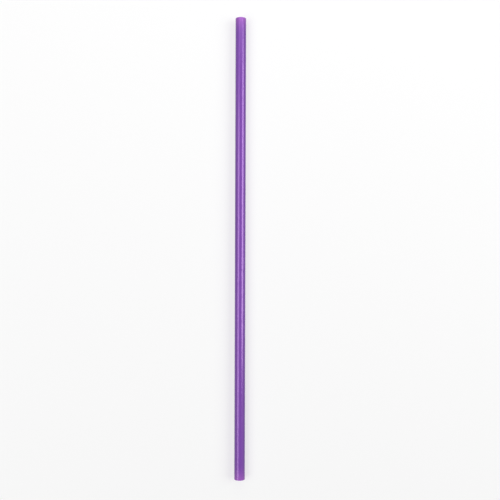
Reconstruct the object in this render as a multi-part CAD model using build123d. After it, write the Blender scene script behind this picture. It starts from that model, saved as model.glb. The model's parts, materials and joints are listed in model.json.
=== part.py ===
from build123d import *
import os

# A straight drinking straw: one thin plastic tube, extruded and cut square at both ends.
# It lies on its side along Y, as it comes to rest on a table top, with +Z up.
# The origin is the middle of the line that it rests on. Lengths are in millimetres.

# Driving dimensions
straw_length = 260.0  # from cut end to cut end
outer_diameter = 6.0
wall_thickness = 0.2
rim_edge_radius = 0.05  # the knife leaves both edges of a cut rim slightly rounded

# The two rounded edges of a rim share the wall, so each takes less than half of it
rim_edge_wall_share = 0.45


def straw_tube() -> Part:
    """The whole straw: a ring drawn out along Y, with both edges of each cut rim rounded."""
    outer_radius = outer_diameter / 2
    bore_radius = outer_radius - wall_thickness
    rim_rounding = min(rim_edge_radius, wall_thickness * rim_edge_wall_share)
    middle_section = Plane.XZ.shift_origin((0, 0, outer_radius))
    with BuildPart() as tube:
        with BuildSketch(middle_section):
            Circle(outer_radius)
            Circle(bore_radius, mode=Mode.SUBTRACT)
        extrude(amount=straw_length / 2, both=True)
        cut_rims = tube.faces().filter_by(Axis.Y)
        fillet(cut_rims.edges(), rim_rounding)
    return tube.part


os.makedirs("parts", exist_ok=True)
export_step(straw_tube(), "parts/straw_tube.step")
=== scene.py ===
"""A straight drinking straw of extruded purple polypropylene, lying on a white studio floor."""

import json
import logging
import math
from dataclasses import dataclass
from enum import Enum, IntEnum
from typing import Any

import bmesh
import bpy
from mathutils import Matrix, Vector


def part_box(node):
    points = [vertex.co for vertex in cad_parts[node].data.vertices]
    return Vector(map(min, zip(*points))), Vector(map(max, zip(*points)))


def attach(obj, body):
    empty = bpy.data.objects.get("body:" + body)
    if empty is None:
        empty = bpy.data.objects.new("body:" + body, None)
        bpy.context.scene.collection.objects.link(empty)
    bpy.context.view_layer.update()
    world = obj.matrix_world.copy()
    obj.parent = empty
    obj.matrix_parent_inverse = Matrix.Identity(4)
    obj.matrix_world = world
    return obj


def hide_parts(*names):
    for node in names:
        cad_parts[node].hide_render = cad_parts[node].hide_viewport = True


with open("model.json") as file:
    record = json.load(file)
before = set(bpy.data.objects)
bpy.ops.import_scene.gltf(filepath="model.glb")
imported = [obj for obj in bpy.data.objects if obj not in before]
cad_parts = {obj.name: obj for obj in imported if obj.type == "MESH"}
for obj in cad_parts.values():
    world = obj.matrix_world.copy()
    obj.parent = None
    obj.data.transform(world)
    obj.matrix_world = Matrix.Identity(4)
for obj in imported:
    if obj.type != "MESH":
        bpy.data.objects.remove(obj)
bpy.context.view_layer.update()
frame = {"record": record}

log = logging.getLogger("drinking_straw")

MM = 0.001  # a millimetre in metres
FULL_TURN = 2 * math.pi
IMAGE_WIDTH_PX = 500.0  # the square picture that the camera fills


class Bearing(Enum):
    """Where a softbox stands round the straw, as an angle from +X in degrees."""

    RIGHT = 0
    FAR_END = 90
    LEFT = 180


class MixSocket(IntEnum):
    """The places of a Mix node's colour sockets, which share their names with other sockets."""

    FACTOR = 0
    FIRST = 6
    SECOND = 7
    RESULT = 2


def linear(hex_colour: str) -> tuple[float, float, float, float]:
    """Turns an sRGB hex colour into linear light.

    Args:
        hex_colour: A hash and six hex digits.

    Returns:
        Red, green and blue in linear light, with an alpha of 1.
    """
    channels = (int(hex_colour[i : i + 2], 16) / 255 for i in (1, 3, 5))
    red, green, blue = (c / 12.92 if c <= 0.04045 else ((c + 0.055) / 1.055) ** 2.4 for c in channels)
    return red, green, blue, 1.0


def add_node(
    tree: bpy.types.NodeTree,
    kind: str,
    inputs: dict[str | int, Any] | None = None,
    **settings: Any,
) -> bpy.types.Node:
    """Adds a shader node with its settings and links.

    Args:
        tree: The node tree that the node goes into.
        kind: The node's type, without the ShaderNode that it starts with.
        inputs: What goes into the node's sockets, by name or place: a value, or an output of another node.
        settings: The node's own settings, by name.

    Returns:
        The new node.
    """
    node = tree.nodes.new("ShaderNode" + kind)
    for name, value in settings.items():
        setattr(node, name, value)
    for socket, value in (inputs or {}).items():
        if isinstance(value, bpy.types.NodeSocket):
            tree.links.new(value, node.inputs[socket])
        else:
            node.inputs[socket].default_value = value
    return node


def empty_tree(owner: bpy.types.Material | bpy.types.World) -> bpy.types.NodeTree:
    """Gives a material or a world an empty node tree.

    Args:
        owner: The material or the world.

    Returns:
        Its node tree.
    """
    owner.use_nodes = True
    owner.node_tree.nodes.clear()
    return owner.node_tree


def seen_rays(tree: bpy.types.NodeTree) -> bpy.types.NodeSocket:
    """Adds a switch for the rays that show a background, whether straight, mirrored or through a wall.

    Args:
        tree: The node tree that the switch goes into.

    Returns:
        The switch, which is 1 for those rays and 0 for the rays that only carry light.
    """
    rays = add_node(tree, "LightPath").outputs
    seen = rays["Is Camera Ray"]
    for kind in ("Is Glossy Ray", "Is Transmission Ray"):
        seen = add_node(tree, "Math", {0: seen, 1: rays[kind]}, operation="MAXIMUM").outputs["Value"]
    return seen


def mesh_object(name: str, bm: bmesh.types.BMesh, material: bpy.types.Material) -> bpy.types.Object:
    """Turns a bmesh into an object at the origin, shaded smooth.

    Args:
        name: The object's name.
        bm: The bmesh, which is freed.
        material: The object's only material.

    Returns:
        The object, linked to the scene.
    """
    for face in bm.faces:
        face.smooth = True
    mesh = bpy.data.meshes.new(name)
    bm.to_mesh(mesh)
    bm.free()
    mesh.materials.append(material)
    piece = bpy.data.objects.new(name, mesh)
    bpy.context.scene.collection.objects.link(piece)
    return piece


@dataclass(frozen=True)
class DrawnNoise:
    """Noise whose patches are drawn out along Y, as a melt is drawn from its die.

    Attributes:
        width: The size of a patch across the tube.
        length: The size of a patch along the tube.
        detail: How many finer layers the noise has.
        lowest: About the lowest value that the plain noise reaches.
        highest: About the highest value that the plain noise reaches.
    """

    width: float
    length: float
    detail: float = 2.0
    lowest: float = 0.3
    highest: float = 0.7

    def add(
        self, tree: bpy.types.NodeTree, place: bpy.types.NodeSocket, low: float = 0.0, high: float = 1.0
    ) -> bpy.types.NodeSocket:
        """Adds the noise to a material.

        Args:
            tree: The material's node tree.
            place: The object coordinates.
            low: The value of the lowest patches.
            high: The value of the highest patches.

        Returns:
            The noise, from low to high.
        """
        scale = (1 / self.width, 1 / self.length, 1 / self.width)
        drawn = add_node(tree, "Mapping", {"Vector": place, "Scale": scale}).outputs["Vector"]
        # The mapping already gives the patches their size
        noise = add_node(tree, "TexNoise", {"Vector": drawn, "Scale": 1.0, "Detail": self.detail})
        spread = add_node(
            tree,
            "MapRange",
            {
                "Value": noise.outputs["Fac"],
                "From Min": self.lowest,
                "From Max": self.highest,
                "To Min": low,
                "To Max": high,
            },
        )
        return spread.outputs["Result"]


@dataclass(frozen=True)
class ExtrudedPolypropylene:
    """Polypropylene that was tinted in the melt, drawn through a ring die and cut to length by a knife.

    The die leaves a soft gloss with faint lines along the tube, and the pigment lies in faint streaks the
    same way. The thin wall lets lamplight through, so the bore is lit. The open ends' paler glow and the
    cut edges' shine are painted light in the colour. The knife leaves the ends more matt.

    Attributes:
        name: The material's name.
        pigment: The colour where the pigment is thickest.
        thin_pigment: The colour where the pigment is thinnest.
        painted_end_glow: The colour near an open end: a painted glow, paler than the pigment.
        painted_edge_shine: The colour of a cut edge: a painted shine, where light that was caught in the wall
            would come out.
        lamplight_tint: What each face of the wall leaves of lamplight on its way through.
        glow_reach: How far in from a cut the painted glow of the end starts.
        cut_reach: How far in from a cut the knife dulled the gloss.
        edge_reach: How far in from a cut the painted shine of the edge reaches.
        end_falloff: How steeply these three rise towards the cut.
        ior: The refractive index of polypropylene.
        gloss_level: The strength of the gloss. The bore's own gloss shows through the wall and adds to it.
        gloss_tint: The colour of the gloss, which the pigment tints on the way through the wall.
        gloss_roughness: The roughness between the die lines.
        line_roughness: The roughness on the die lines.
        cut_roughness: The roughness at a cut.
        streaks: The streaks of the pigment.
        die_lines: The lines that the die leaves. They lie some 0.1 mm apart on a straw, and are drawn coarser
            here so that they show at all.
        die_line_height: How far the die lines stand up.
        ripples: The wall's swellings, which come from drawing the melt and make the highlights waver.
        ripple_height: How far the ripples stand up.
    """

    name: str = "polypropylene_purple_extruded"
    pigment: str = "#622E92"
    thin_pigment: str = "#6D399E"
    painted_end_glow: str = "#9452B2"
    painted_edge_shine: str = "#C48FDB"
    lamplight_tint: str = "#C4A4D3"
    glow_reach: float = 10 * MM
    cut_reach: float = 0.8 * MM
    edge_reach: float = 0.1 * MM
    end_falloff: float = 2.0
    ior: float = 1.49
    gloss_level: float = 0.93
    gloss_tint: str = "#F3C8FF"
    gloss_roughness: float = 0.2
    line_roughness: float = 0.26
    cut_roughness: float = 0.5
    streaks: DrawnNoise = DrawnNoise(width=1.6 * MM, length=90 * MM)
    die_lines: DrawnNoise = DrawnNoise(width=0.5 * MM, length=150 * MM)
    die_line_height: float = 0.014 * MM
    ripples: DrawnNoise = DrawnNoise(width=6 * MM, length=60 * MM, detail=0.0)
    ripple_height: float = 0.004 * MM

    def material(self, length: float) -> bpy.types.Material:
        """Makes the material of a tube that lies along Y, with its middle at the origin.

        Args:
            length: The tube's length.

        Returns:
            The material.
        """
        material = bpy.data.materials.new(self.name)
        tree = empty_tree(material)
        place = add_node(tree, "TexCoord").outputs["Object"]
        end = length / 2
        plastic = add_node(
            tree,
            "BsdfPrincipled",
            {
                "Base Color": self._colour(tree, place, end),
                "Roughness": self._roughness(tree, place, end),
                "Normal": self._relief(tree, place),
                "IOR": self.ior,
                "Specular IOR Level": self.gloss_level,
                "Specular Tint": linear(self.gloss_tint),
            },
        )
        # Lamplight comes through the wall with a tint, which lights the bore
        lamplight = add_node(tree, "LightPath").outputs["Is Shadow Ray"]
        tinted = add_node(tree, "BsdfTransparent", {"Color": linear(self.lamplight_tint)})
        wall = add_node(
            tree, "MixShader", {0: lamplight, 1: plastic.outputs["BSDF"], 2: tinted.outputs["BSDF"]}
        )
        add_node(tree, "OutputMaterial", {"Surface": wall.outputs["Shader"]})
        return material

    def _near_end(
        self, tree: bpy.types.NodeTree, place: bpy.types.NodeSocket, end: float, reach: float
    ) -> bpy.types.NodeSocket:
        """Adds a mask that rises towards both cut ends.

        Args:
            tree: The material's node tree.
            place: The object coordinates.
            end: How far each cut is from the tube's middle.
            reach: How far in from a cut the mask starts.

        Returns:
            The mask, from 0 to 1 at the cut.
        """
        along = add_node(tree, "SeparateXYZ", {"Vector": place}).outputs["Y"]
        from_middle = add_node(tree, "Math", {0: along}, operation="ABSOLUTE").outputs["Value"]
        rise = add_node(
            tree, "MapRange", {"Value": from_middle, "From Min": end - reach, "From Max": end}
        ).outputs["Result"]
        return add_node(tree, "Math", {0: rise, 1: self.end_falloff}, operation="POWER").outputs["Value"]

    def _colour(
        self, tree: bpy.types.NodeTree, place: bpy.types.NodeSocket, end: float
    ) -> bpy.types.NodeSocket:
        """Adds the pigment's streaks, the painted glow of the ends and the painted shine of the cut edges.

        Args:
            tree: The material's node tree.
            place: The object coordinates.
            end: How far each cut is from the tube's middle.

        Returns:
            The colour.
        """
        layers = (
            (self.thin_pigment, self.streaks.add(tree, place)),
            # Painted glow, paler towards each open end, as of light coming through the wall
            (self.painted_end_glow, self._near_end(tree, place, end, self.glow_reach)),
            # Painted shine on each cut edge, as of light caught in the wall coming out
            (self.painted_edge_shine, self._near_end(tree, place, end, self.edge_reach)),
        )
        colour = linear(self.pigment)
        for tint, share in layers:
            mixed = add_node(
                tree,
                "Mix",
                {MixSocket.FACTOR: share, MixSocket.FIRST: colour, MixSocket.SECOND: linear(tint)},
                data_type="RGBA",
            )
            colour = mixed.outputs[MixSocket.RESULT]
        return colour

    def _roughness(
        self, tree: bpy.types.NodeTree, place: bpy.types.NodeSocket, end: float
    ) -> bpy.types.NodeSocket:
        """Adds the gloss, which the die lines and the knife dull.

        Args:
            tree: The material's node tree.
            place: The object coordinates.
            end: How far each cut is from the tube's middle.

        Returns:
            The roughness.
        """
        lined = self.die_lines.add(tree, place, self.gloss_roughness, self.line_roughness)
        cut = self._near_end(tree, place, end, self.cut_reach)
        dulled = add_node(tree, "MapRange", {"Value": cut, "To Min": lined, "To Max": self.cut_roughness})
        return dulled.outputs["Result"]

    def _relief(self, tree: bpy.types.NodeTree, place: bpy.types.NodeSocket) -> bpy.types.NodeSocket:
        """Adds the die lines on top of the wall's ripples.

        Args:
            tree: The material's node tree.
            place: The object coordinates.

        Returns:
            The bent normal.
        """
        rippled = add_node(
            tree, "Bump", {"Height": self.ripples.add(tree, place), "Distance": self.ripple_height}
        )
        lined = add_node(
            tree,
            "Bump",
            {
                "Height": self.die_lines.add(tree, place),
                "Distance": self.die_line_height,
                "Normal": rippled.outputs["Normal"],
            },
        )
        return lined.outputs["Normal"]


@dataclass(frozen=True)
class WhitePaper:
    """Matt white paper that a picture shows as white, with a soft shadow.

    Attributes:
        name: The material's name.
        white: The paper as it is seen.
        bounce: The paper as it lights the straw from below.
        lift_share: How much of the white that is seen near the straw holds no shadow.
        shade_reach: How far from the straw the paper shows its shading.
        white_from: How far from the straw the paper is plain white.
    """

    name: str = "matt_white_paper"
    white: str = "#ECECEC"
    bounce: str = "#6C6C6C"
    lift_share: float = 0.6
    shade_reach: float = 0.25
    white_from: float = 0.7

    def material(self) -> bpy.types.Material:
        """Makes the paper's material.

        Returns:
            The material.
        """
        material = bpy.data.materials.new(self.name)
        tree = empty_tree(material)
        seen = seen_rays(tree)
        tone = add_node(
            tree,
            "Mix",
            {
                MixSocket.FACTOR: seen,
                MixSocket.FIRST: linear(self.bounce),
                MixSocket.SECOND: linear(self.white),
            },
            data_type="RGBA",
        )
        paper = add_node(tree, "BsdfDiffuse", {"Color": tone.outputs[MixSocket.RESULT]})
        level = add_node(tree, "Emission")
        place = add_node(tree, "TexCoord").outputs["Object"]
        away = add_node(tree, "VectorMath", {0: place}, operation="LENGTH").outputs["Value"]
        share = add_node(
            tree,
            "MapRange",
            {
                "Value": away,
                "From Min": self.shade_reach,
                "From Max": self.white_from,
                "To Min": self.lift_share,
            },
            interpolation_type="SMOOTHSTEP",
        )
        lift = add_node(tree, "Math", {0: seen, 1: share.outputs["Result"]}, operation="MULTIPLY")
        shown = add_node(
            tree,
            "MixShader",
            {0: lift.outputs["Value"], 1: paper.outputs["BSDF"], 2: level.outputs["Emission"]},
        )
        add_node(tree, "OutputMaterial", {"Surface": shown.outputs["Shader"]})
        return material


@dataclass
class StrawTube:
    """The straw: one thin tube along Y, with both edges of each cut rim rounded.

    Attributes:
        length: From cut end to cut end.
        outer_radius: The outside radius.
        bore_radius: The radius of the hollow.
        axis_height: The height of the tube's axis over the floor.
        rim_rounding: The radius of a rim's edges.
        node: The CAD node that the tube replaces.
        body: The body that the tube rides on.
        slot: The record's slot of the tube's material. Not used.
        facets: How many facets go round the tube.
        spans: How many spans go along the tube.
        rim_segments: How many segments round each edge of a rim.
        rim_hold: How far in from a rim's rounding the last loop lies, which keeps the rim's shading there.
        finish: What the tube is made of.
    """

    length: float
    outer_radius: float
    bore_radius: float
    axis_height: float
    rim_rounding: float
    node: str
    body: str = "root"
    slot: str = "purple_polypropylene"
    facets: int = 144
    spans: int = 52
    rim_segments: int = 4
    rim_hold: float = 0.2 * MM
    finish: ExtrudedPolypropylene = ExtrudedPolypropylene()

    @classmethod
    def from_frame(cls, node: str) -> "StrawTube":
        """Takes the tube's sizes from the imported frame.

        Args:
            node: The CAD node of the tube.

        Returns:
            The tube, not built yet.
        """
        low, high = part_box(node)
        length = high.y - low.y
        mounts = {mount["name"]: mount for mount in frame["record"]["mounts"]}
        outside = mounts["outside"]["dims"]
        return cls(
            length=length,
            outer_radius=outside["r_mm"] * MM,
            bore_radius=mounts["bore"]["dims"]["r_mm"] * MM,
            axis_height=mounts["outside"]["pos_m"][2],
            rim_rounding=(length - outside["length_mm"] * MM) / 2,
            node=node,
        )

    def build(self) -> bpy.types.Object:
        """Spins the wall's section into the tube, and puts it in the CAD node's place.

        Returns:
            The finished tube.
        """
        bm = bmesh.new()
        self._draw_section(bm)
        bmesh.ops.spin(
            bm,
            geom=bm.verts[:] + bm.edges[:],
            axis=(0, 1, 0),
            cent=(0, 0, 0),
            angle=FULL_TURN,
            steps=self.facets,
            use_merge=True,
        )
        bmesh.ops.translate(bm, verts=bm.verts, vec=(0, 0, self.axis_height))
        bmesh.ops.recalc_face_normals(bm, faces=bm.faces)
        tube = mesh_object("extruded_tube", bm, self.finish.material(self.length))
        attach(tube, self.body)
        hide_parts(self.node)
        return tube

    def _draw_section(self, bm: bmesh.types.BMesh) -> None:
        """Draws the outline of the wall, cut along the tube: a long strip with rounded corners.

        Args:
            bm: The empty bmesh that the outline goes into.
        """
        wall = self.outer_radius - self.bore_radius
        middle_radius = (self.outer_radius + self.bore_radius) / 2
        end = self.length / 2
        bmesh.ops.create_grid(
            bm,
            x_segments=1,
            y_segments=self.spans,
            size=0.5,
            matrix=Matrix.Translation((middle_radius, 0, 0)) @ Matrix.Diagonal((wall, self.length, 1, 1)),
        )
        bmesh.ops.bevel(
            bm,
            geom=[v for v in bm.verts if abs(v.co.y) > end - self.rim_rounding],
            offset=self.rim_rounding,
            offset_type="OFFSET",
            affect="VERTICES",
            segments=self.rim_segments,
            profile=0.5,
            material=-1,
        )
        for side in (-1, 1):
            bmesh.ops.bisect_plane(
                bm,
                geom=bm.verts[:] + bm.edges[:] + bm.faces[:],
                plane_co=(0, side * (end - self.rim_rounding - self.rim_hold), 0),
                plane_no=(0, 1, 0),
            )
        bmesh.ops.delete(bm, geom=bm.faces, context="FACES_ONLY")
        bmesh.ops.delete(bm, geom=[e for e in bm.edges if self._crosses_wall(e)], context="EDGES")

    def _crosses_wall(self, edge: bmesh.types.BMEdge) -> bool:
        """Tells an edge that runs through the wall from one that lies on its outline.

        Args:
            edge: An edge of the section.

        Returns:
            True if the edge runs through the wall.
        """
        first, second = (v.co for v in edge.verts)
        off_rim = max(abs(first.y), abs(second.y)) < self.length / 2 - self.rim_rounding / 2
        return off_rim and abs(first.x - second.x) > (self.outer_radius - self.bore_radius) / 2


@dataclass(frozen=True)
class Softbox:
    """A softbox that faces the straw.

    Attributes:
        bearing: Where it stands.
        from_upright: How far it leans out from straight above the straw, in degrees.
        distance: From the straw to the box.
        width: Its size towards the straw and away from it.
        length: Its size round the straw.
        shift: How far it is moved along the straw.
        watts: Its power.
    """

    bearing: Bearing
    from_upright: float
    distance: float
    width: float
    length: float
    shift: float
    watts: float

    def build(self) -> bpy.types.Object:
        """Puts the softbox into the scene, out of the camera's sight.

        Returns:
            The lamp.
        """
        lamp = bpy.data.lights.new(f"softbox_{self.bearing.name.lower()}", "AREA")
        lamp.shape = "RECTANGLE"
        lamp.size = self.width
        lamp.size_y = self.length
        lamp.energy = self.watts
        box = bpy.data.objects.new(lamp.name, lamp)
        shift = Matrix.Translation((0, self.shift, 0))
        turn = Matrix.Rotation(math.radians(self.bearing.value), 4, "Z")
        lean = Matrix.Rotation(math.radians(self.from_upright), 4, "Y")
        box.matrix_world = shift @ turn @ lean @ Matrix.Translation((0, 0, self.distance))
        box.visible_camera = False
        bpy.context.scene.collection.objects.link(box)
        return box


@dataclass
class Studio:
    """A white floor, three softboxes and a dim white room.

    Attributes:
        softboxes: The lamps. The two beside the straw give it a bright streak each, and the small one makes
            its far end the brighter one.
        paper: What the floor is covered with.
        floor_side: The floor's width and length.
        room_level: How strongly the room lights the straw.
    """

    softboxes: tuple[Softbox, ...] = (
        Softbox(
            Bearing.LEFT, from_upright=38, distance=0.9, width=0.54, length=0.78, shift=-0.115, watts=5.7
        ),
        Softbox(
            Bearing.RIGHT, from_upright=52, distance=0.9, width=0.48, length=0.61, shift=0.095, watts=6.0
        ),
        Softbox(
            Bearing.FAR_END, from_upright=50, distance=0.4, width=0.25, length=0.5, shift=0.0, watts=0.6
        ),
    )
    paper: WhitePaper = WhitePaper()
    floor_side: float = 40.0
    room_level: float = 0.03

    def build(self) -> None:
        """Builds the floor, the lamps and the room."""
        bm = bmesh.new()
        bmesh.ops.create_grid(bm, x_segments=1, y_segments=1, size=self.floor_side / 2)
        mesh_object("studio_floor", bm, self.paper.material())
        for softbox in self.softboxes:
            log.info("lamp %s", softbox.build().name)
        self._light_room()

    def _light_room(self) -> None:
        """Lights the room dimly, and shows it as white."""
        world = bpy.data.worlds.new("studio_room")
        bpy.context.scene.world = world
        tree = empty_tree(world)
        level = add_node(tree, "MapRange", {"Value": seen_rays(tree), "To Min": self.room_level})
        room = add_node(tree, "Background", {"Color": linear("#FFFFFF"), "Strength": level.outputs["Result"]})
        add_node(tree, "OutputWorld", {"Surface": room.outputs["Background"]})


@dataclass
class OverheadCamera:
    """The camera, which looks straight down on the straw.

    Attributes:
        height: The camera's height over the floor.
        straw_length_px: How long the straw is in the picture.
        straw_middle_px: Where the straw's middle is in the picture, from its top left corner.
        straw_lean: How far the straw leans to the right in the picture, in degrees.
        sensor_width: The width of the camera's sensor, in millimetres.
    """

    height: float = 0.376
    straw_length_px: float = 464.0
    straw_middle_px: tuple[float, float] = (240.2, 248.9)
    straw_lean: float = 0.17
    sensor_width: float = 36.0

    def build(self, straw: StrawTube) -> bpy.types.Object:
        """Puts the camera into the scene.

        Args:
            straw: The straw that it looks at.

        Returns:
            The camera.
        """
        # The rims' upper edges lie nearest the camera and mark the straw's length
        to_rims = self.height - straw.axis_height - straw.outer_radius
        focal_px = self.straw_length_px * to_rims / straw.length
        lens = bpy.data.cameras.new("overhead_camera")
        lens.sensor_width = self.sensor_width
        lens.lens = focal_px / IMAGE_WIDTH_PX * self.sensor_width
        camera = bpy.data.objects.new(lens.name, lens)
        metres_per_px = (self.height - straw.axis_height) / focal_px
        across_px, down_px = self.straw_middle_px
        picture_middle = IMAGE_WIDTH_PX / 2
        aside = (picture_middle - across_px) * metres_per_px
        along = (down_px - picture_middle) * metres_per_px
        camera.location = (aside, along, self.height)
        camera.rotation_euler.z = math.radians(self.straw_lean)
        bpy.context.scene.collection.objects.link(camera)
        bpy.context.scene.camera = camera
        return camera


def main() -> None:
    """Builds the straw, the studio and the camera, in that order."""
    logging.basicConfig(level=logging.INFO, format="%(name)s: %(message)s")
    bpy.context.scene.view_settings.view_transform = "Standard"
    straw = StrawTube.from_frame("straw_tube")
    tube = straw.build()
    log.info("piece %s with %d faces", tube.name, len(tube.data.polygons))
    Studio().build()
    log.info("camera %s", OverheadCamera().build(straw).name)


if __name__ == "__main__":
    main()
